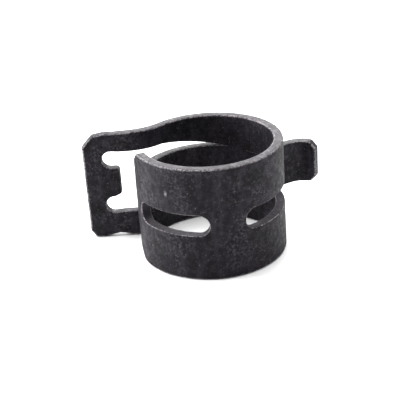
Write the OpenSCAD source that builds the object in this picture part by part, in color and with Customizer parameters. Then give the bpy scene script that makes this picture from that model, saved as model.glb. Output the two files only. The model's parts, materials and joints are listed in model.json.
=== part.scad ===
// Spring band hose clamp: one strip of spring steel rolled into a ring.
// The narrow tongue at one end passes between the two arms at the other end.
// Squeezing the two turned-out ears together opens the ring.
// The origin is on the ring's axis in the plane of its lower rim, and +Z runs along the axis.
// The saddle, where neither side bends, is at -Y, and both ears are towards +Y.
// Each node is one zone of the strip, and the zones meet at the lines where the strip is let bend.

/* [Strip] */
// Width of the strip, which is the height of the ring
band_w = 12; // [10:0.25:16]
// Thickness of the strip
band_t = 1; // [0.6:0.05:1.3]
// Inner diameter of the relaxed ring
bore_d = 13.3; // [11:0.1:30]

/* [Slots] */
// Height of the closed slot and of the window's narrow part
slot_h = 2.2; // [1.2:0.1:3]
// Angle from the saddle's middle to the near end of either slot
slot_near = 14; // [10:1:16]
// Angle from the saddle's middle to the far end of the closed slot
slot_far = 80; // [72:1:82]
// Angle at which the window starts to widen
flare_near = 90; // [80:1:94]
// Angle at which the window has reached the width that clears the tongue
flare_far = 110; // [104:1:114]
// Angle at which the arms start to taper towards the ear
taper_near = 145; // [125:1:160]
// Angle at which the arms are at their narrowest, before they turn out
taper_far = 184; // [175:1:186]
// Height of the window's upper edge above the strip's middle, where the arms turn out into the ear
window_root_up = 3.7; // [3.3:0.05:3.8]
// Depth of the window's lower edge below the strip's middle, where the arms turn out into the ear
window_root_down = 3.1; // [3.05:0.05:3.15]

/* [Tongue] */
// Height of the tongue
tongue_h = 5; // [4:0.1:5.2]
// Gap between each edge of the tongue and the arm beside it
tongue_gap = 0.35; // [0.2:0.05:0.5]
// Angle from the saddle's middle to the shoulder, where the full width ends
shoulder_angle = 93; // [91:1:96]
// Size of the chamfer on each shoulder corner
shoulder_chamfer = 1.2; // [0.4:0.1:2]

/* [Window ear] */
// Angle from the saddle's middle to the bend of the window ear
ear_angle = 212; // [208:1:216]
// Angle through which the arms turn outwards
ear_turn = 44; // [38:1:50]
// Centre-line radius of that bend
ear_bend_r = 5.3; // [4:0.1:6]
// Length of the flat ear beyond its bend
ear_len = 4.6; // [4.2:0.1:5.5]
// Width of the bridge between the notch ends and the tip
bridge_w = 2; // [1.4:0.05:2.1]
// Diameter of the two notches beside the inner tab
notch_d = 1.9; // [1.5:0.1:1.9]
// Height of the upper notch's middle above the strip's middle
notch_up = 3; // [2.8:0.05:3.1]
// Depth of the lower notch's middle below the strip's middle
notch_down = 2.15; // [2.1:0.05:2.4]
// Length of the inner tab from the ear's tip
inner_tab_len = 3.8; // [3.3:0.05:4]
// Chamfer of the ear's upper corner along the ear
ear_upper_x = 1.1; // [0.5:0.1:1.6]
// Chamfer of the ear's upper corner across the ear
ear_upper_z = 1.4; // [0.5:0.1:2]
// Chamfer of the ear's lower corner along the ear
ear_lower_x = 0.6; // [0.3:0.1:1.6]
// Chamfer of the ear's lower corner across the ear
ear_lower_z = 0.8; // [0.3:0.1:2]

/* [Tongue ear] */
// Angle from the saddle's middle to the bend of the tongue ear
tab_angle = 225.5; // [222:0.5:228]
// How much less height the tongue ear has than the tongue
tab_less_h = 0.3; // [0.1:0.1:1]
// Height of the tongue ear's middle above the strip's middle
tab_rise = 0.15; // [0:0.05:0.2]
// Angle through which the tongue turns outwards
tab_turn = 62.5; // [56:0.5:66]
// Centre-line radius of that bend
tab_bend_r = 3.6; // [2.5:0.1:4]
// Length of the flat between the outward bend and the bow
tab_flat = 1.1; // [0.6:0.1:2]
// Centre-line radius of the bow
bow_r = 2.4; // [2:0.1:4]
// Angle through which the bow turns back
bow_turn = 53; // [30:1:60]
// Length of the flat tip beyond the bow
tip_len = 1; // [0.8:0.1:1.6]
// Chamfer of the tongue ear's corners
tip_chamfer = 0.7; // [0.3:0.1:1.2]

/* [Bending lines] */
// Angle from the saddle's middle to the first bending line on either side
first_line = 18; // [17:1:20]
// Angle between bending lines on the tongue side
tongue_step = 26; // [24:1:27]
// Angle between bending lines on the window side
window_step = 28; // [26:1:30]

/* [Hidden] */
$fn = 96;
MINUS_Y = 270;
CUT = 1;                                   // how far a cutter runs past what it cuts
LAP = 0.02;                                // how far two shapes of one zone run into each other
OUTLINE_STEPS = 6;                         // straight pieces in a curved edge of one zone
BEND_STEPS = 14;                           // straight pieces in the curve of one bend
r_in = bore_d / 2;
r_out = r_in + band_t;
r_mid = r_in + band_t / 2;
mid_z = band_w / 2;
window_clear_h = tongue_h + 2 * tongue_gap;
tab_h = tongue_h - tab_less_h;
slot_round = asin(slot_h / 2 / r_mid);     // angle taken by half of a slot's round end
notch_x = ear_len - bridge_w - notch_d / 2; // distance of the notches' middles from the bend
black = [0.2, 0.19, 0.21];
dark = [0.15, 0.14, 0.16];

// Angles along the strip are counted from the saddle's middle, on whichever side a zone lies.
function tongue_line(n) = first_line + n * tongue_step;
function window_line(n) = first_line + n * window_step;
function ramp(x) = let (c = max(0, min(1, x))) c * c * (3 - 2 * c);
function root_edge(upper) = upper ? window_root_up : window_root_down;

// Distance of the window's upper or lower edge from the strip's middle at angle a.
function window_edge(a, upper) =
    slot_h / 2 + (window_clear_h - slot_h) / 2 * ramp((a - flare_near) / (flare_far - flare_near))
    + (root_edge(upper) - window_clear_h / 2) * max(0, min(1, (a - taper_near) / (taper_far - taper_near)));

// A run is a list of [point on the middle of the strip, direction of the strip's inner face there].
function toward(angle) = [cos(angle), sin(angle)];
function ring_run(a, b) = [
    for (i = [0 : BEND_STEPS])
        let (angle = MINUS_Y + a + (b - a) * i / BEND_STEPS)
            [r_mid * toward(angle), angle + 180]
];
function bend_run(a, turn, r) = [
    for (i = [0 : BEND_STEPS])
        let (angle = MINUS_Y + a + 180 - turn * i / BEND_STEPS)
            [(r_mid + r) * toward(MINUS_Y + a) + r * toward(angle), angle]
];
function bow_run(start, facing, turn) = [
    for (i = [0 : BEND_STEPS])
        let (angle = facing + turn * i / BEND_STEPS)
            [start + bow_r * (toward(facing) - toward(angle)), angle]
];
function beyond(last, length) = [last[0] + length * toward(last[1] - 90), last[1]];

// The strip along a run, between two heights.
module ribbon(run, low, high)
    translate([0, 0, low])
        linear_extrude(high - low)
            polygon(concat(
                [for (p = run) p[0] + band_t / 2 * toward(p[1])],
                [for (i = [len(run) - 1 : -1 : 0]) run[i][0] - band_t / 2 * toward(run[i][1])]
            ));

// Turns a shape made on the window side into one on the tongue side.
module on_tongue_side() mirror([1, 0, 0]) children();

// The angle that a lap takes on an arc.
function lap_angle(radius) = atan(LAP / radius);

// A stretch of the ring from angle a to angle b on the window side, between two heights.
module band(a, b, low, high)
    rotate([0, 0, MINUS_Y + a])
        rotate_extrude(angle = b - a)
            translate([r_in, low])
                square([band_t, high - low]);

// Cuts straight out through the ring at angle a. The outline's X runs along the strip there.
module punch(a)
    rotate([0, 0, MINUS_Y + a])
        translate([r_out + CUT, 0, mid_z])
            rotate([90, 0, -90])
                linear_extrude(band_t + 3 * CUT)
                    mirror([1, 0, 0])
                        children();

// The slot's round end, with its tip at angle tip and its middle further along, or nearer if side is -1.
module round_end(tip, side)
    punch(tip + side * slot_round)
        circle(d = slot_h);

// The slot between two angles, without its round ends.
module slot(a, b)
    rotate([0, 0, MINUS_Y + a])
        rotate_extrude(angle = b - a)
            translate([r_in - CUT, mid_z - slot_h / 2])
                square([band_t + 2 * CUT, slot_h]);

// One half of the band beside the closed slot or beside the window's narrow part.
module rail(a, b, low, high)
    difference() {
        band(a, b, low, high);
        slot(max(a - 1, slot_near + slot_round - lap_angle(r_mid)), b + 1);
        round_end(slot_near, 1);
    }

// One arm beside the window, whose inner edge follows window_edge.
module arm(a, b, upper) {
    middle = (a + b) / 2;
    edge = [
        for (i = [-1 : OUTLINE_STEPS + 1])
            let (t = a + (b - a) * i / OUTLINE_STEPS)
                [r_mid * sin(t - middle), window_edge(t, upper)]
    ];
    side = upper ? 1 : -1;
    difference() {
        band(a, b, upper ? mid_z : 0, upper ? band_w : mid_z);
        punch(middle)
            polygon(concat(
                [[edge[0][0], -side * CUT]],
                [for (p = edge) [p[0], side * p[1]]],
                [[edge[len(edge) - 1][0], -side * CUT]]
            ));
    }
}

// Puts a plate at the end of an outward bend, with +X along the strip and +Z up.
module after_bend(a, turn, r)
    rotate([0, 0, MINUS_Y + a])
        translate([r_mid + r, 0, 0])
            rotate([0, 0, 180 - turn])
                translate([r, 0, 0])
                    rotate([0, 0, -90])
                        children();

// A flat stretch of the strip between two places along it and two heights.
module flat(from, to, low, high)
    translate([from, -band_t / 2, low])
        cube([to - from, band_t, high - low]);

// A corner cutter whose sharp corner is at the origin and whose legs run along -X and -Z.
module corner(x, z)
    rotate([90, 0, 0])
        translate([0, 0, -band_t / 2 - CUT])
            linear_extrude(band_t + 2 * CUT)
                polygon([[CUT, CUT], [-x - CUT * x / z, CUT], [CUT, -z - CUT * z / x]]);

// The same corner cutter turned over, for a lower corner.
module lower_corner(x, z)
    mirror([0, 0, 1])
        corner(x, z);

module saddle()
    color(black)
        difference() {
            band(-first_line, first_line, 0, band_w);
            round_end(slot_near, 1);
            round_end(-slot_near, -1);
        }

module slot_rail(n, upper)
    color(dark)
        on_tongue_side()
            rail(tongue_line(n - 1), tongue_line(n), upper ? mid_z : 0, upper ? band_w : mid_z);

module shoulder()
    color(black)
        on_tongue_side() {
            difference() {
                band(tongue_line(2), shoulder_angle, 0, band_w);
                slot(tongue_line(2) - 1, slot_far - slot_round + lap_angle(r_mid));
                round_end(slot_far, -1);
                punch(shoulder_angle)
                    for (side = [-1, 1])
                        polygon([
                            [CUT, side * (mid_z - shoulder_chamfer - CUT)],
                            [CUT, side * (mid_z + CUT)],
                            [-shoulder_chamfer - CUT, side * (mid_z + CUT)]
                        ]);
            }
            band(
                shoulder_angle - lap_angle(r_mid), tongue_line(3),
                mid_z - tongue_h / 2, mid_z + tongue_h / 2
            );
        }

module tongue(n)
    color(dark)
        on_tongue_side()
            band(tongue_line(n + 2), tongue_line(n + 3), mid_z - tongue_h / 2, mid_z + tongue_h / 2);

module tongue_root()
    color(dark)
        on_tongue_side()
            band(tongue_line(6), tab_angle, mid_z - tongue_h / 2, mid_z + tongue_h / 2);

module tongue_ear() {
    low = mid_z + tab_rise - tab_h / 2;
    high = low + tab_h;
    bend = bend_run(tab_angle, tab_turn, tab_bend_r);
    bow = bow_run(beyond(bend[BEND_STEPS], tab_flat)[0], bend[BEND_STEPS][1], bow_turn);
    tip = beyond(bow[BEND_STEPS], tip_len);
    color(black)
        on_tongue_side()
            difference() {
                ribbon(concat(bend, bow, [tip]), low, high);
                translate(tip[0])
                    rotate([0, 0, tip[1] - 90]) {
                        translate([0, 0, high]) corner(tip_chamfer, tip_chamfer);
                        translate([0, 0, low]) lower_corner(tip_chamfer, tip_chamfer);
                    }
            }
}

module window_rail(n, upper)
    color(dark)
        rail(window_line(n - 1), window_line(n), upper ? mid_z : 0, upper ? band_w : mid_z);

module window_flare(upper)
    color(black)
        arm(window_line(2), window_line(3), upper);

module window_arm(n, upper)
    color(dark)
        arm(window_line(n + 2), window_line(n + 3), upper);

module ear_arm(upper) {
    bend = bend_run(ear_angle, ear_turn, ear_bend_r);
    color(black)
        ribbon(
            concat(ring_run(window_line(6), ear_angle), bend, [beyond(bend[BEND_STEPS], notch_x)]),
            upper ? mid_z + root_edge(true) : 0,
            upper ? band_w : mid_z - root_edge(false)
        );
}

module ear_bridge()
    color(dark)
        after_bend(ear_angle, ear_turn, ear_bend_r)
            difference() {
                union() {
                    flat(notch_x, ear_len, 0, band_w);
                    flat(
                        ear_len - inner_tab_len, notch_x + LAP,
                        mid_z - notch_down + notch_d / 2, mid_z + notch_up - notch_d / 2
                    );
                }
                for (z = [-notch_down, notch_up])
                    translate([notch_x, band_t / 2 + CUT, mid_z + z])
                        rotate([90, 0, 0])
                            cylinder(d = notch_d, h = band_t + 2 * CUT);
                translate([ear_len, 0, band_w]) corner(ear_upper_x, ear_upper_z);
                translate([ear_len, 0, 0]) lower_corner(ear_lower_x, ear_lower_z);
            }

saddle();
slot_rail(1, true);  // slot_rail_upper_1
slot_rail(1, false);  // slot_rail_lower_1
slot_rail(2, true);  // slot_rail_upper_2
slot_rail(2, false);  // slot_rail_lower_2
shoulder();
tongue(1);  // tongue_1
tongue(2);  // tongue_2
tongue(3);  // tongue_3
tongue_root();
tongue_ear();
window_rail(1, true);  // window_rail_upper_1
window_rail(1, false);  // window_rail_lower_1
window_rail(2, true);  // window_rail_upper_2
window_rail(2, false);  // window_rail_lower_2
window_flare(true);  // window_flare_upper
window_flare(false);  // window_flare_lower
window_arm(1, true);  // arm_upper_1
window_arm(1, false);  // arm_lower_1
window_arm(2, true);  // arm_upper_2
window_arm(2, false);  // arm_lower_2
window_arm(3, true);  // arm_upper_3
window_arm(3, false);  // arm_lower_3
ear_arm(true);  // ear_arm_upper
ear_arm(false);  // ear_arm_lower
ear_bridge();
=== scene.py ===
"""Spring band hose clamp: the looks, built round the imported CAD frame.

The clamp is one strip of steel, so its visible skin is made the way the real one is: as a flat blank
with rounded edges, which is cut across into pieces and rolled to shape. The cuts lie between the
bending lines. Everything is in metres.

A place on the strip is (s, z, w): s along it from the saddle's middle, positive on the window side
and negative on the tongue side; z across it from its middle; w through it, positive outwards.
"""
import json
import math

import bmesh
import bpy
import numpy as np
from mathutils import Matrix, Vector, geometry, noise
from mathutils.kdtree import KDTree

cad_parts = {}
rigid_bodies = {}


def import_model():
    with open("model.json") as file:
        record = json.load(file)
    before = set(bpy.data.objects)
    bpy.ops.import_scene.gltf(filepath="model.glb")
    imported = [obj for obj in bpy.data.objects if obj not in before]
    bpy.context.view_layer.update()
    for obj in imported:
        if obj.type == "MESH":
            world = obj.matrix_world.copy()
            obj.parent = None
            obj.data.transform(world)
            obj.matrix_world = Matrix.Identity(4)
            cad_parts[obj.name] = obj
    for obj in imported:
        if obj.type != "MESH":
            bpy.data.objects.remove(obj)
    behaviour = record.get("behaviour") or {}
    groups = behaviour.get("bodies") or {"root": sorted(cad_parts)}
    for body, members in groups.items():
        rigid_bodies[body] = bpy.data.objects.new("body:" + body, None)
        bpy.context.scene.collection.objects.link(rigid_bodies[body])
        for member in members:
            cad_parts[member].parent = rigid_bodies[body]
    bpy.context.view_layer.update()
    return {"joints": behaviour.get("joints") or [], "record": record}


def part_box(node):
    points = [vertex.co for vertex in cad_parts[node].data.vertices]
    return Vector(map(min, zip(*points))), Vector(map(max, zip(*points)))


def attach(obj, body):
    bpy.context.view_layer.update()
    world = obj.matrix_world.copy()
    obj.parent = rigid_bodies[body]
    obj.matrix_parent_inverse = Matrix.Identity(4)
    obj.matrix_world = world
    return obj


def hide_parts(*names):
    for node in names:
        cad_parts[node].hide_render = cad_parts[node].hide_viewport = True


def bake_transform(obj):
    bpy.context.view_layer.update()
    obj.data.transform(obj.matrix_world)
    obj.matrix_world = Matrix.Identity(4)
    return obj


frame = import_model()
MM = 0.001

# ------------------------------------------------------------------ sizes taken from the frame


def mount(name):
    return next(m for m in frame["record"]["mounts"] if m["name"] == name)


def line_angles(side, sign):
    """Angles from the saddle's middle to the bending lines of one side; sign is that side's X."""
    places = [j["pos_m"] for j in frame["joints"] if j["name"].startswith(side)]
    return [math.atan2(sign * x, -y) % math.tau for x, y, _ in places]


R_IN = mount("hose_bore")["dims"]["r_mm"] * MM
BAND_W = mount("hose_bore")["dims"]["length_mm"] * MM
R_OUT = math.hypot(*frame["joints"][0]["pos_m"][:2])
BAND_T = R_OUT - R_IN
R_MID = (R_IN + R_OUT) / 2
HALF_W = BAND_W / 2
TONGUE_LINES = line_angles("tongue", -1)
WINDOW_LINES = line_angles("window", 1)
SLOT_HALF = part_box("slot_rail_upper_2")[0][2] - HALF_W
TONGUE_HALF = (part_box("tongue_1")[1][2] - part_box("tongue_1")[0][2]) / 2
TAB_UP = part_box("tongue_ear")[1][2] - HALF_W
TAB_DOWN = HALF_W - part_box("tongue_ear")[0][2]
WINDOW_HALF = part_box("arm_upper_1")[0][2] - HALF_W

# ------------------------------------------------------------------ sizes of the strip's own features

SLOT_NEAR = math.radians(14)
SLOT_FAR = math.radians(80)
FLARE_NEAR = math.radians(92)
FLARE_FAR = math.radians(113)
TAPER_NEAR = math.radians(138)
TAPER_FAR = math.radians(214)
ROOT_UP = 3.85 * MM        # the window's edges above and below the middle, where the arms turn out
ROOT_DOWN = 3.08 * MM
SHOULDER = math.radians(93)
SHOULDER_CHAMFER = 1.2 * MM
SHOULDER_FOOT_R = 0.4 * MM
SHOULDER_R = 0.9 * MM
EAR_ROOT = math.radians(212)
EAR_TURN = math.radians(44)
EAR_BEND_R = 5.3 * MM
EAR_LEN = 4.6 * MM
BRIDGE_W = 2.0 * MM
NOTCH_D = 1.9 * MM
NOTCH_DIP = 0.08 * MM      # how far a notch reaches into its arm
NOTCH_LEAD_R = 0.5 * MM    # radius where the window's edge runs into a notch
INNER_TAB_LEN = 3.8 * MM
TAB_UPPER_R = 0.42 * MM    # the inner tab's corner radii
TAB_LOWER_R = 0.3 * MM
TAB_SLOPE = (0.75 * MM, 0.35 * MM)   # the slope of the inner tab's lower corner
CORNER_R = 0.35 * MM       # radius of the cut corners of both ears
EAR_UPPER = (1.1 * MM, 1.2 * MM)
EAR_SLOPE = (1.4 * MM, 0.25 * MM)
EAR_SLOPE_R = 1.2 * MM
EAR_LOWER = (0.6 * MM, 0.8 * MM)
EAR_LOWER_LEAD = 0.5 * MM
NECK_BACK = 3.2 * MM       # from the ear's tip back to its neck, where the arms are narrowest
NECK_LEN = 1.1 * MM
NECK_UPPER = 0.06 * MM
NECK_LOWER = 0.34 * MM
NECK_LEAD = 0.6 * MM       # the neck's curve stops this far before the ear's corner
NECK_STEPS = 16
FLARE_STEPS = 12
TAPER_STEPS = 10
SWELL_STEPS = 8            # steps in the tongue ear's change of height at its bend
TAB_ROOT = math.radians(225.5)
TAB_TURN = math.radians(62.5)
TAB_BEND_R = 3.6 * MM
TAB_FLAT = 1.1 * MM
BOW_R = 2.4 * MM
BOW_TURN = math.radians(53)
TIP_LEN = 1.0 * MM
TIP_CHAMFER = 0.7 * MM
TIP_R = 0.3 * MM

RIM_ROUND = 0.22 * MM      # rounding of the strip's own long edges
END_ROUND = 0.30 * MM      # rounding of the two ears' free edges
SHEAR_ROUND = 0.11 * MM    # rounding of edges that a punch cut
RIM_ZONE = 0.9 * MM        # outline points this near a rim's height begin to take its rounding
RIM_FADE = 0.5 * MM
END_ZONE = 1.5 * MM        # and those this near an ear's free edge take that edge's
STEP = 0.17 * MM           # spacing of points along the outline
ROUND_STEP = 0.6 * STEP    # spacing of points round its corners
CLOSEST = 0.01 * MM        # outline points nearer than this count as one
GRID = 0.24 * MM           # spacing of points inside the outline
GRID_CLEAR = 0.6 * GRID    # how far those stay from the outline
ALMOST = 0.999             # keeps two roundings of one end from meeting in a point
WALL_LEVELS = (0.4, 0.0, -0.4)   # rows of points down a cut wall, as shares of half the thickness
ROUND_ANGLES = (0, 22, 45, 68, 90)   # rows of points round an edge, in degrees
WAVE_SIZE, WAVE_DEPTH = 1.9 * MM, 0.010 * MM
PIT_SIZE, PIT_DEPTH = 0.42 * MM, 0.004 * MM
PIT_LAYER = 5 * MM         # where the noise for the pits is sampled
FACE_OFFSET = 7 * MM       # keeps the outer and the inner face from having the same waves

# ------------------------------------------------------------------ from the flat blank to the rolled strip

WINDOW_PATH = [
    (R_MID * EAR_ROOT, 1 / R_MID),
    (EAR_BEND_R * EAR_TURN, -1 / EAR_BEND_R),
    (EAR_LEN, 0),
]
TONGUE_PATH = [
    (R_MID * TAB_ROOT, 1 / R_MID),
    (TAB_BEND_R * TAB_TURN, -1 / TAB_BEND_R),
    (TAB_FLAT, 0),
    (BOW_R * BOW_TURN, 1 / BOW_R),
    (TIP_LEN, 0),
]
S_EAR = sum(length for length, _ in WINDOW_PATH)
S_TAB = sum(length for length, _ in TONGUE_PATH)


def walk(distance, path):
    """(x, y, heading) after each distance along a path of (length, curvature), from the saddle towards +X."""
    x, y, heading = 0.0, -R_MID, 0.0
    start = 0.0
    out = np.zeros((len(distance), 3))
    for i, (length, curvature) in enumerate(path):
        last = i == len(path) - 1
        here = (distance >= start) & (last | (distance < start + length))
        ahead = np.where(here, distance - start, 0)
        turned = heading + curvature * ahead
        if curvature:
            px = x + (np.sin(turned) - math.sin(heading)) / curvature
            py = y - (np.cos(turned) - math.cos(heading)) / curvature
        else:
            px, py = x + ahead * math.cos(heading), y + ahead * math.sin(heading)
        out[here] = np.stack([px, py, turned], 1)[here]
        end = heading + curvature * length
        if curvature:
            x += (math.sin(end) - math.sin(heading)) / curvature
            y -= (math.cos(end) - math.cos(heading)) / curvature
        else:
            x, y = x + length * math.cos(heading), y + length * math.sin(heading)
        heading, start = end, start + length
    return out


def rolled_frame(s):
    """For each s: the point on the strip's middle, the direction of growing s, and the outward direction."""
    window, tongue = walk(np.abs(s), WINDOW_PATH), walk(np.abs(s), TONGUE_PATH)
    on_window = (s >= 0)[:, None]
    x, y, heading = np.where(on_window, window, tongue).T
    side = np.where(s >= 0, 1.0, -1.0)
    zero = np.zeros_like(s)
    place = np.stack([side * x, y, zero + HALF_W], 1)
    along = np.stack([np.cos(heading), side * np.sin(heading), zero], 1)
    outward = np.stack([side * np.sin(heading), -np.cos(heading), zero], 1)
    return place, along, outward


def roll(flat):
    """Rolls points (s, z, w) to their place in the CAD frame."""
    place, _, outward = rolled_frame(flat[:, 0])
    rolled = place + outward * flat[:, 2:3]
    rolled[:, 2] += flat[:, 1]
    return rolled


def roll_directions(s, directions):
    """Rolls directions given in (s, z, w) at each s."""
    _, along, outward = rolled_frame(s)
    rolled = along * directions[:, 0:1] + outward * directions[:, 2:3]
    rolled[:, 2] += directions[:, 1]
    return rolled


# ------------------------------------------------------------------ outline of the blank


def ramp(x):
    x = min(1, max(0, x))
    return x * x * (3 - 2 * x)


def between(a, b, steps):
    return [a + (b - a) * i / steps for i in range(steps + 1)]


def window_edge(s, root):
    """Distance of the window's edge from the middle at s, where root is that distance at the ear."""
    angle = s / R_MID
    flare = ramp((angle - FLARE_NEAR) / (FLARE_FAR - FLARE_NEAR))
    taper = min(1, max(0, (angle - TAPER_NEAR) / (TAPER_FAR - TAPER_NEAR)))
    return SLOT_HALF + (WINDOW_HALF - SLOT_HALF) * flare + (root - WINDOW_HALF) * taper


def rim_half(s, depth):
    """The rim's distance from the middle at s on the window side, with the neck behind the ear's corner."""
    return HALF_W - depth * math.exp(-(((s - (S_EAR - NECK_BACK)) / NECK_LEN) ** 2))


def rim(ear_corners, neck_depth, tab_edge):
    """Corners (s, z, corner radius) of a long edge, from the tongue ear's tip to the window ear's corners."""
    shoulder_s = -R_MID * SHOULDER
    swell = between(-R_MID * TAB_ROOT - TAB_BEND_R * TAB_TURN, -R_MID * TAB_ROOT, SWELL_STEPS)
    neck = between(R_MID * EAR_ROOT - MM, ear_corners[0][0] - NECK_LEAD, NECK_STEPS)
    corners = [(-S_TAB, tab_edge - TIP_CHAMFER, TIP_R), (-S_TAB + TIP_CHAMFER, tab_edge, CORNER_R)]
    for i, s in enumerate(swell):
        corners.append((s, tab_edge + (TONGUE_HALF - tab_edge) * ramp(i / SWELL_STEPS), 0))
    corners += [
        (shoulder_s, TONGUE_HALF, SHOULDER_FOOT_R),
        (shoulder_s, HALF_W - SHOULDER_CHAMFER, SHOULDER_R),
        (shoulder_s + SHOULDER_CHAMFER, HALF_W, SHOULDER_R),
    ]
    corners += [(s, rim_half(s, neck_depth), 0) for s in neck]
    return corners + ear_corners


def upper_ear_corners():
    """The window ear's upper corner: a shallow slope and then a steep chamfer."""
    slope_end = S_EAR - EAR_UPPER[0]
    return [
        (slope_end - EAR_SLOPE[0], HALF_W, EAR_SLOPE_R),
        (slope_end, HALF_W - EAR_SLOPE[1], CORNER_R),
        (S_EAR, HALF_W - EAR_SLOPE[1] - EAR_UPPER[1], CORNER_R),
    ]


def lower_ear_corners():
    """The window ear's lower corner, a smaller chamfer, as if it were above the middle."""
    return [
        (S_EAR - EAR_LOWER[0] - EAR_LOWER_LEAD, HALF_W, EAR_LOWER_LEAD),
        (S_EAR - EAR_LOWER[0], HALF_W, CORNER_R),
        (S_EAR, HALF_W - EAR_LOWER[1], CORNER_R),
    ]


def window_edge_corners(root):
    """Corners of one long edge of the window, from its closed round end to the edge of the inner tab."""
    run = between(R_MID * FLARE_NEAR, R_MID * FLARE_FAR, FLARE_STEPS)
    run += between(R_MID * TAPER_NEAR, R_MID * TAPER_FAR, TAPER_STEPS)
    notch_end = S_EAR - BRIDGE_W
    notch_r = NOTCH_D / 2 * ALMOST
    notch_out = root + NOTCH_DIP
    tab_edge = notch_out - NOTCH_D
    return (
        [(R_MID * SLOT_NEAR, SLOT_HALF, SLOT_HALF * ALMOST)]
        + [(s, window_edge(s, root), 0) for s in run]
        + [
            (notch_end - NOTCH_D, root, NOTCH_LEAD_R),
            (notch_end - NOTCH_D / 2, notch_out, NOTCH_LEAD_R),
            (notch_end, notch_out, notch_r),
            (notch_end, tab_edge, notch_r),
        ]
    )


def mirrored(corners):
    return [(s, -z, radius) for s, z, radius in reversed(corners)]


def rounded(corners):
    """A closed outline of points (s, z) through corners (s, z, radius), at most STEP apart."""
    points = []
    count = len(corners)
    for i in range(count):
        before, here, after = (Vector(corners[(i + k) % count][:2]) for k in (-1, 0, 1))
        radius = corners[i][2]
        a, b = (before - here).normalized(), (after - here).normalized()
        turn = math.pi - a.angle(b)
        if radius == 0 or turn < 1e-3:
            points.append(here)
            continue
        reach = radius * math.tan(turn / 2)
        centre = here + (a + b).normalized() * (radius / math.cos(turn / 2))
        start = here + a * reach
        sign = 1 if a.cross(b) < 0 else -1
        steps = max(3, math.ceil(radius * turn / ROUND_STEP))
        for k in range(steps + 1):
            points.append(centre + Matrix.Rotation(sign * turn * k / steps, 2) @ (start - centre))
    spaced = []
    for here, after in zip(points, points[1:] + points[:1]):
        pieces = max(1, math.ceil((after - here).length / STEP))
        spaced += [here.lerp(after, k / pieces) for k in range(pieces)]
    kept = [p for p, q in zip(spaced, spaced[1:] + spaced[:1]) if (p - q).length > CLOSEST]
    return np.array(kept)


def outlines():
    """The blank's outline, anticlockwise, and its two openings, clockwise."""
    upper_rim = rim(upper_ear_corners(), NECK_UPPER, TAB_UP)
    lower_rim = rim(lower_ear_corners(), NECK_LOWER, TAB_DOWN)
    outer = rounded(upper_rim + mirrored(lower_rim))
    tab_end = S_EAR - INNER_TAB_LEN
    upper = window_edge_corners(ROOT_UP)
    upper.append((tab_end, upper[-1][1], TAB_UPPER_R))
    lower = window_edge_corners(ROOT_DOWN)
    tab_low = lower[-1][1]
    lower.append((tab_end + TAB_SLOPE[0], tab_low, TAB_LOWER_R))
    lower.append((tab_end, tab_low - TAB_SLOPE[1], TAB_LOWER_R))
    opening = rounded(upper + mirrored(lower))
    near, far = -R_MID * SLOT_NEAR, -R_MID * SLOT_FAR
    slot_edge = [(s, SLOT_HALF, SLOT_HALF * ALMOST) for s in (far, near)]
    slot = rounded(slot_edge + mirrored(slot_edge))
    return outer, [opening, slot]


def area(loop):
    x, y = loop.T
    return float(np.sum(x * np.roll(y, -1) - y * np.roll(x, -1)) / 2)


def inward(loop):
    """For each point of an outline with the steel on its left: how far it moves for an inset of 1."""
    edge = np.roll(loop, -1, 0) - loop
    edge /= np.linalg.norm(edge, axis=1, keepdims=True)
    normal = np.stack([-edge[:, 1], edge[:, 0]], 1)
    before = np.roll(normal, 1, 0)
    return (normal + before) / np.maximum(0.3, 1 + np.sum(normal * before, 1, keepdims=True))


# ------------------------------------------------------------------ the flat blank as a mesh


def edge_round(points, outer):
    """Radius of the rounded edge at each outline point: larger on the strip's own rims."""
    s, z = points.T
    near_end = np.minimum(np.abs(s - S_EAR), np.abs(s + S_TAB))
    end = np.clip(1 - near_end / END_ZONE, 0, 1)
    on_rim = outer * np.clip((np.abs(z) - HALF_W + RIM_ZONE) / RIM_FADE, 0, 1)
    radius = SHEAR_ROUND + (RIM_ROUND - SHEAR_ROUND) * on_rim
    return radius + (END_ROUND - radius) * end * outer


def inside(points, loop):
    """True for each point inside a closed outline."""
    x, y = points[:, 0][:, None], points[:, 1][:, None]
    ax, ay = loop.T
    bx, by = np.roll(loop, -1, 0).T
    crosses = (ay > y) != (by > y)
    with np.errstate(divide="ignore", invalid="ignore"):
        at = ax + (y - ay) * (bx - ax) / (by - ay)
    return (crosses & (x < at)).sum(1) % 2 == 1


def far_from(points, loops, distance):
    """True for each point further than distance from every outline point."""
    everything = np.concatenate(loops)
    tree = KDTree(len(everything))
    for i, (s, z) in enumerate(everything):
        tree.insert((s, z, 0), i)
    tree.balance()
    return np.array([tree.find((s, z, 0))[2] > distance for s, z in points])


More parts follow.
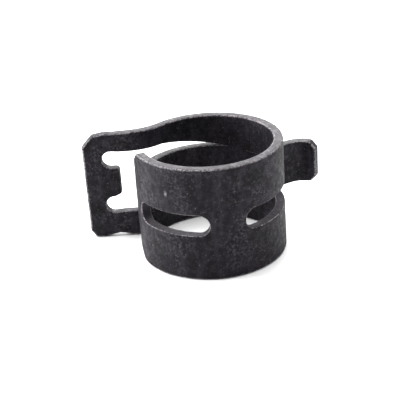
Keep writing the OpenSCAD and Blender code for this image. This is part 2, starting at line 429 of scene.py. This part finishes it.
def flat_blank():
    """The blank as a bmesh in (s, z, w), with vertex layers for the cut walls (painted lighter, partly as top
    light on the rims) and the rounded corners (wear and a painted highlight).
    """
    outer, holes = outlines()
    loops = [(outer if area(outer) > 0 else outer[::-1], True)]
    loops += [(hole if area(hole) < 0 else hole[::-1], False) for hole in holes]
    bm = bmesh.new()
    cut = bm.verts.layers.float.new("cut_edge")
    # weight of the rounded corners: where edge wear and a painted highlight go
    corner_wear_and_glint = bm.verts.layers.float.new("corner_wear_and_glint")
    half_t = BAND_T / 2
    inner_loops, tops, bottoms = [], [], []
    for loop, is_outer in loops:
        move, radius = inward(loop), edge_round(loop, is_outer)
        rows = []
        for a in map(math.radians, ROUND_ANGLES):
            inset, drop = radius * (1 - math.sin(a)), radius * (1 - math.cos(a))
            rows.append((loop + move * inset[:, None], half_t - drop, math.sin(2 * a), math.sin(a)))
        middle = [(loop, half_t * level + 0 * radius, 0, 1) for level in WALL_LEVELS]
        mirror = [(p, -w, corner, side) for p, w, corner, side in reversed(rows)]
        rings = []
        for points, heights, corner, side in rows + middle + mirror:
            ring = []
            for (s, z), w in zip(points, np.broadcast_to(heights, len(points))):
                vert = bm.verts.new((s, z, w))
                vert[cut], vert[corner_wear_and_glint] = side, corner
                ring.append(vert)
            rings.append(ring)
        for upper, lower in zip(rings, rings[1:]):
            for i in range(len(upper)):
                j = (i + 1) % len(upper)
                bm.faces.new((upper[i], lower[i], lower[j], upper[j]))
        inner_loops.append(rows[0][0])
        tops.append(rings[0])
        bottoms.append(rings[-1])
    s_values = np.arange(-S_TAB, S_EAR, GRID)
    z_values = np.arange(-HALF_W, HALF_W, GRID)
    grid = np.array([(s, z) for i, s in enumerate(s_values) for z in z_values + GRID / 2 * (i % 2)])
    grid = grid[inside(grid, inner_loops[0])]
    for hole in inner_loops[1:]:
        grid = grid[~inside(grid, hole)]
    grid = grid[far_from(grid, inner_loops, GRID_CLEAR)]
    flat, edges = [], []
    for loop in inner_loops:
        first = len(flat)
        flat += [Vector(p) for p in loop]
        edges += [(first + i, first + (i + 1) % len(loop)) for i in range(len(loop))]
    flat += [Vector(p) for p in grid]
    points, _, faces, origins, _, _ = geometry.delaunay_2d_cdt(flat, edges, [], 0, 1e-9, True)
    centres = np.array([sum((points[i] for i in f), Vector((0, 0))) / len(f) for f in faces])
    keep = inside(centres, inner_loops[0])
    for hole in inner_loops[1:]:
        keep &= ~inside(centres, hole)
    for rings, side in ((tops, 1), (bottoms, -1)):
        edge_verts = [v for ring in rings for v in ring]
        verts = []
        for point, source in zip(points, origins):
            if source and source[0] < len(edge_verts):
                verts.append(edge_verts[source[0]])
            else:
                verts.append(bm.verts.new((point[0], point[1], side * half_t)))
        for face, good in zip(faces, keep):
            if good:
                corner_verts = [verts[i] for i in face]
                bm.faces.new(corner_verts if side > 0 else corner_verts[::-1])
    bmesh.ops.delete(bm, geom=[v for v in bm.verts if not v.link_faces], context="VERTS")
    bmesh.ops.recalc_face_normals(bm, faces=bm.faces)
    return bm


def relief(s, z):
    """How far a rolled and tumbled surface lies below its nominal place at (s, z), always 0 or more."""
    wave = noise.noise(Vector((s, z, 0)) / WAVE_SIZE)
    pit = noise.noise(Vector((s, z, PIT_LAYER)) / PIT_SIZE)
    return WAVE_DEPTH * (0.5 + 0.5 * wave) + PIT_DEPTH * (0.5 + 0.5 * pit)


def weather(bm):
    """Gives the blank its slight waviness, so that nothing is perfectly flat. It only ever moves inwards."""
    bm.normal_update()
    moves = []
    for vert in bm.verts:
        s, z, w = vert.co
        shift = relief(s + (FACE_OFFSET if w > 0 else 0), z)
        moves.append(-vert.normal * shift)
    for vert, move in zip(bm.verts, moves):
        vert.co += move


# ------------------------------------------------------------------ pieces of the strip


def piece_table():
    """Rows of (name, from s, to s, half, bodies, nodes); half is 1 above, -1 below or 0 for both."""
    saddle_half = R_MID * TONGUE_LINES[0] / 2
    rows = [("saddle_band", -saddle_half, saddle_half, 0, ("saddle",), ["saddle"])]
    bodies = frame["record"]["behaviour"]["bodies"]
    sides = (("tongue", -1, TONGUE_LINES, S_TAB), ("window", 1, WINDOW_LINES, S_EAR))
    for side, sign, lines, length in sides:
        chain = [j for j in frame["joints"] if j["name"].startswith(side)]
        ends = [saddle_half]
        for i in range(1, len(lines)):
            ends.append(R_MID * (lines[i - 1] + lines[i]) / 2)
        ends.append(R_MID * (lines[-1] + (lines[1] - lines[0]) / 2))
        ends.append(length + MM)
        spans = [(j["parent"], j["child"]) for j in chain] + [(chain[-1]["child"],)]
        for i, (near, far, span) in enumerate(zip(ends, ends[1:], spans)):
            low, high = sorted((sign * near, sign * far))
            nodes = [n for body in span for n in bodies[body] if body != "saddle"]
            split = any("upper" in n for n in nodes)
            joined = i == 0 or "shoulder" in span or span == ("window_end",)
            label = f"{side}_side_{i + 1}"
            if joined or not split:
                rows.append((label, low, high, 0, span, nodes))
                continue
            for half, word in ((1, "upper"), (-1, "lower")):
                rows.append((f"{label}_{word}", low, high, half, span, [n for n in nodes if word in n]))
    return rows


def cut_piece(blank, low, high, half):
    """A closed copy of the blank between two places along it, above, below or on both sides of its middle."""
    bm = blank.copy()
    caps = set()
    if half:
        unwanted = [v for v in bm.verts if v.co.y * half < 0]
        bmesh.ops.delete(bm, geom=unwanted, context="VERTS")
    for at, direction in ((low, -1), (high, 1)):
        everything = list(bm.verts) + list(bm.edges) + list(bm.faces)
        cut = bmesh.ops.bisect_plane(
            bm, geom=everything, dist=1e-7, plane_co=(at, 0, 0), plane_no=(direction, 0, 0), clear_outer=True
        )
        rim = [g for g in cut["geom_cut"] if isinstance(g, bmesh.types.BMEdge)]
        if rim:
            caps.update(bmesh.ops.holes_fill(bm, edges=rim, sides=0)["faces"])
    for face in bm.faces:
        face.smooth = face not in caps
        face.tag = face in caps
    return bm


def finished_piece(name, blank, low, high, half, material):
    """One piece of the strip, rolled to shape, with the shading of the whole strip kept across its cuts."""
    bm = cut_piece(blank, low, high, half)
    bm.verts.index_update()
    normal_layer = bm.verts.layers.float_vector["blank_normal"]
    flat = np.array([v.co for v in bm.verts])
    normals = np.array([v[normal_layer] for v in bm.verts])
    flat_normals = roll_directions(flat[:, 0], normals)
    rolled = roll(flat)
    for vert, place in zip(bm.verts, rolled):
        vert.co = place
    bm.normal_update()
    corner_normals = []
    for face in bm.faces:
        for loop in face.loops:
            corner_normals.append(face.normal[:] if face.tag else tuple(flat_normals[loop.vert.index]))
    mesh = bpy.data.meshes.new(name)
    bm.to_mesh(mesh)
    bm.free()
    mesh.normals_split_custom_set(corner_normals)
    mesh.materials.append(material)
    piece = bpy.data.objects.new(name, mesh)
    bpy.context.scene.collection.objects.link(piece)
    return piece


def cross_section(s):
    """The point on the inner face of the strip at s, half way up."""
    return roll(np.array([[s, 0, -BAND_T / 2]]))[0]


def make_strip(material):
    blank = flat_blank()
    weather(blank)
    blank.normal_update()
    layer = blank.verts.layers.float_vector.new("blank_normal")
    for vert in blank.verts:
        vert[layer] = vert.normal
    for name, low, high, half, span, nodes in piece_table():
        piece = finished_piece(name, blank, low, high, half, material)
        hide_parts(*nodes)
        if len(span) == 1:
            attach(piece, span[0])
            continue
        start, end = (low, high) if low >= 0 else (high, low)
        cross_section(start)
        cross_section(end)
        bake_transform(piece)


# ------------------------------------------------------------------ material

NICK_TURN = math.radians(47)         # from the saddle's middle towards the shoulder
NICK_HEIGHT = 9.15 * MM
NICK_PLACE = (-R_OUT * math.sin(NICK_TURN), -R_OUT * math.cos(NICK_TURN), NICK_HEIGHT)
NICK_SIZE = (0.45 * MM, 0.45 * MM, 0.95 * MM)


def phosphated_steel():
    """Black phosphate on spring steel: mottled charcoal; cut walls painted greyer, partly as painted top
    light on the rims; corners worn and painted with a bright highlight.
    """
    material = bpy.data.materials.new("phosphated_steel")
    material.use_nodes = True
    nodes, links = material.node_tree.nodes, material.node_tree.links
    nodes.clear()
    out = nodes.new("ShaderNodeOutputMaterial")
    shader = nodes.new("ShaderNodeBsdfPrincipled")
    links.new(shader.outputs["BSDF"], out.inputs["Surface"])
    coords = nodes.new("ShaderNodeTexCoord").outputs["Object"]

    def pattern(size, detail, rough, stretch=(1, 1, 1)):
        scaled = nodes.new("ShaderNodeVectorMath")
        scaled.operation = "MULTIPLY"
        links.new(coords, scaled.inputs[0])
        scaled.inputs[1].default_value = stretch
        node = nodes.new("ShaderNodeTexNoise")
        links.new(scaled.outputs["Vector"], node.inputs["Vector"])
        node.inputs["Scale"].default_value = 1 / size
        node.inputs["Detail"].default_value = detail
        node.inputs["Roughness"].default_value = rough
        return node.outputs["Fac"]

    def curve(value, low, high, to_low=0.0, to_high=1.0):
        node = nodes.new("ShaderNodeMapRange")
        node.clamp = True
        links.new(value, node.inputs["Value"])
        for key, number in (("From Min", low), ("From Max", high), ("To Min", to_low), ("To Max", to_high)):
            node.inputs[key].default_value = number
        return node.outputs["Result"]

    def times(a, b):
        node = nodes.new("ShaderNodeMath")
        node.operation = "MULTIPLY"
        links.new(a, node.inputs[0])
        links.new(b, node.inputs[1])
        return node.outputs["Value"]

    def near(place, size):
        """1 at place, falling to 0 at half of size from it in each direction."""
        node = nodes.new("ShaderNodeVectorMath")
        node.operation = "SUBTRACT"
        links.new(coords, node.inputs[0])
        node.inputs[1].default_value = place
        scaled = nodes.new("ShaderNodeVectorMath")
        scaled.operation = "MULTIPLY"
        links.new(node.outputs["Vector"], scaled.inputs[0])
        scaled.inputs[1].default_value = [2 / length for length in size]
        far = nodes.new("ShaderNodeVectorMath")
        far.operation = "LENGTH"
        links.new(scaled.outputs["Vector"], far.inputs[0])
        return curve(far.outputs["Value"], 0.4, 1.0, 1.0, 0.0)

    def mix(share, a, b):
        node = nodes.new("ShaderNodeMix")
        node.data_type = "RGBA"
        links.new(share, node.inputs["Factor"])
        for key, colour in (("A", a), ("B", b)):
            if isinstance(colour, tuple):
                node.inputs[key].default_value = (*colour, 1)
            else:
                links.new(colour, node.inputs[key])
        return node.outputs["Result"]

    def layer(name):
        node = nodes.new("ShaderNodeAttribute")
        node.attribute_name = name
        return node.outputs["Fac"]

    broad = curve(pattern(2.4 * MM, 3, 0.6), 0.36, 0.66)
    streaks = curve(pattern(0.9 * MM, 4, 0.65, stretch=(1, 1, 0.22)), 0.50, 0.72)
    mottle = curve(pattern(0.60 * MM, 5, 0.7), 0.46, 0.66)
    patches = curve(pattern(3.2 * MM, 2, 0.5), 0.46, 0.64)
    scuffed = times(patches, curve(pattern(0.28 * MM, 4, 0.7), 0.48, 0.66))
    speck = curve(pattern(0.15 * MM, 2, 0.5), 0.67, 0.76)
    colour = mix(broad, (0.0020, 0.0013, 0.0028), (0.0086, 0.0064, 0.0106))
    colour = mix(curve(streaks, 0, 1, 0, 0.60), colour, (0.0265, 0.0220, 0.0310))
    colour = mix(curve(mottle, 0, 1, 0, 0.36), colour, (0.0290, 0.0250, 0.0335))
    colour = mix(curve(scuffed, 0, 1, 0, 0.55), colour, (0.0720, 0.0660, 0.0790))
    colour = mix(curve(speck, 0, 1, 0, 0.65), colour, (0.150, 0.142, 0.155))
    # cut walls painted lighter: partly painted light, brightening the upward rims as the top light does
    colour = mix(curve(layer("cut_edge"), 0.3, 1.0, 0, 0.45), colour, (0.050, 0.045, 0.052))
    # rounded corners painted bright: partly edge wear, partly a painted highlight along the rims
    grit_and_sparkle = curve(pattern(0.20 * MM, 3, 0.7), 0.40, 0.60)
    rubbed_and_glint_patches = curve(pattern(1.7 * MM, 2, 0.5), 0.30, 0.60, 0.35, 1.0)
    wear_and_highlight = times(times(curve(layer("corner_wear_and_glint"), 0.25, 0.90), grit_and_sparkle), rubbed_and_glint_patches)
    colour = mix(wear_and_highlight, colour, (0.300, 0.280, 0.295))
    nick = times(near(NICK_PLACE, NICK_SIZE), curve(pattern(0.22 * MM, 3, 0.7), 0.42, 0.56))
    colour = mix(nick, colour, (0.150, 0.140, 0.150))
    links.new(colour, shader.inputs["Base Color"])
    links.new(curve(mottle, 0, 1, 0.66, 0.46), shader.inputs["Roughness"])
    shader.inputs["Specular IOR Level"].default_value = 0.13

    bump = nodes.new("ShaderNodeBump")
    bump.inputs["Strength"].default_value = 0.5
    bump.inputs["Distance"].default_value = 0.02 * MM
    links.new(pattern(0.16 * MM, 4, 0.7), bump.inputs["Height"])
    links.new(bump.outputs["Normal"], shader.inputs["Normal"])
    return material


def floor_material():
    material = bpy.data.materials.new("floor")
    material.use_nodes = True
    shader = material.node_tree.nodes["Principled BSDF"]
    shader.inputs["Base Color"].default_value = (0.93, 0.93, 0.93, 1)
    shader.inputs["Roughness"].default_value = 0.9
    return material


# ------------------------------------------------------------------ camera, light and floor

VIEW_TURN = math.radians(10.98)      # how far the clamp is turned to the left of square-on
VIEW_HEIGHT = math.radians(25.66)
VIEW_ROLL = math.radians(4.06)
VIEW_DISTANCE = 14.59 * R_OUT
VIEW_RIGHT = 0.147 * R_OUT        # where the ring's middle lies from the picture's middle
VIEW_UP = 0.0993 * R_OUT
LENS = 97.1
SENSOR = 36.0
NEAR_CLIP, FAR_CLIP = 0.005, 10
FLOOR_REACH = 3.0
WORLD_STRENGTH = 0.10


def make_camera():
    data = bpy.data.cameras.new("camera")
    data.lens, data.sensor_width = LENS, SENSOR
    data.clip_start, data.clip_end = NEAR_CLIP, FAR_CLIP
    camera = bpy.data.objects.new("camera", data)
    bpy.context.scene.collection.objects.link(camera)
    back = Vector((0, -math.cos(VIEW_HEIGHT), math.sin(VIEW_HEIGHT)))
    right = Vector((1, 0, 0))
    up = back.cross(right)
    rolled_right = right * math.cos(VIEW_ROLL) - up * math.sin(VIEW_ROLL)
    rolled_up = right * math.sin(VIEW_ROLL) + up * math.cos(VIEW_ROLL)
    place = back * VIEW_DISTANCE - rolled_right * VIEW_RIGHT - rolled_up * VIEW_UP
    turned = Matrix.Rotation(-VIEW_TURN, 4, "Z")
    axes = Matrix((rolled_right, rolled_up, back)).transposed().to_4x4()
    camera.matrix_world = Matrix.Translation((0, 0, HALF_W)) @ turned @ Matrix.Translation(place) @ axes
    bpy.context.scene.camera = camera


def soft_light(name, place, size, power):
    """A square soft box at place, aimed at the clamp, in the viewer's own frame."""
    data = bpy.data.lights.new(name, "AREA")
    data.shape = "SQUARE"
    data.size, data.energy = size, power
    light = bpy.data.objects.new(name, data)
    bpy.context.scene.collection.objects.link(light)
    at = Matrix.Rotation(-VIEW_TURN, 4, "Z") @ Vector(place)
    light.matrix_world = Matrix.Translation(at) @ (-at).to_track_quat("-Z", "Y").to_matrix().to_4x4()


def make_studio():
    bm = bmesh.new()
    signs = ((-1, -1), (1, -1), (1, 1), (-1, 1))
    bm.faces.new([bm.verts.new((x * FLOOR_REACH, y * FLOOR_REACH, 0)) for x, y in signs])
    mesh = bpy.data.meshes.new("floor")
    bm.to_mesh(mesh)
    bm.free()
    mesh.materials.append(floor_material())
    floor = bpy.data.objects.new("floor", mesh)
    bpy.context.scene.collection.objects.link(floor)
    soft_light("top_box", (-0.04, 0.10, 0.45), 0.50, 6.0)
    soft_light("back_box", (0.02, 0.50, 0.24), 0.34, 5.0)
    soft_light("left_box", (-0.45, 0.05, 0.12), 0.20, 3.4)
    soft_light("right_box", (0.45, 0.10, 0.14), 0.20, 0.5)
    world = bpy.data.worlds.new("studio")
    world.use_nodes = True
    world.node_tree.nodes["Background"].inputs["Color"].default_value = (1, 1, 1, 1)
    world.node_tree.nodes["Background"].inputs["Strength"].default_value = WORLD_STRENGTH
    bpy.context.scene.world = world
    bpy.context.scene.view_settings.view_transform = "Standard"


make_camera()
make_studio()
make_strip(phosphated_steel())
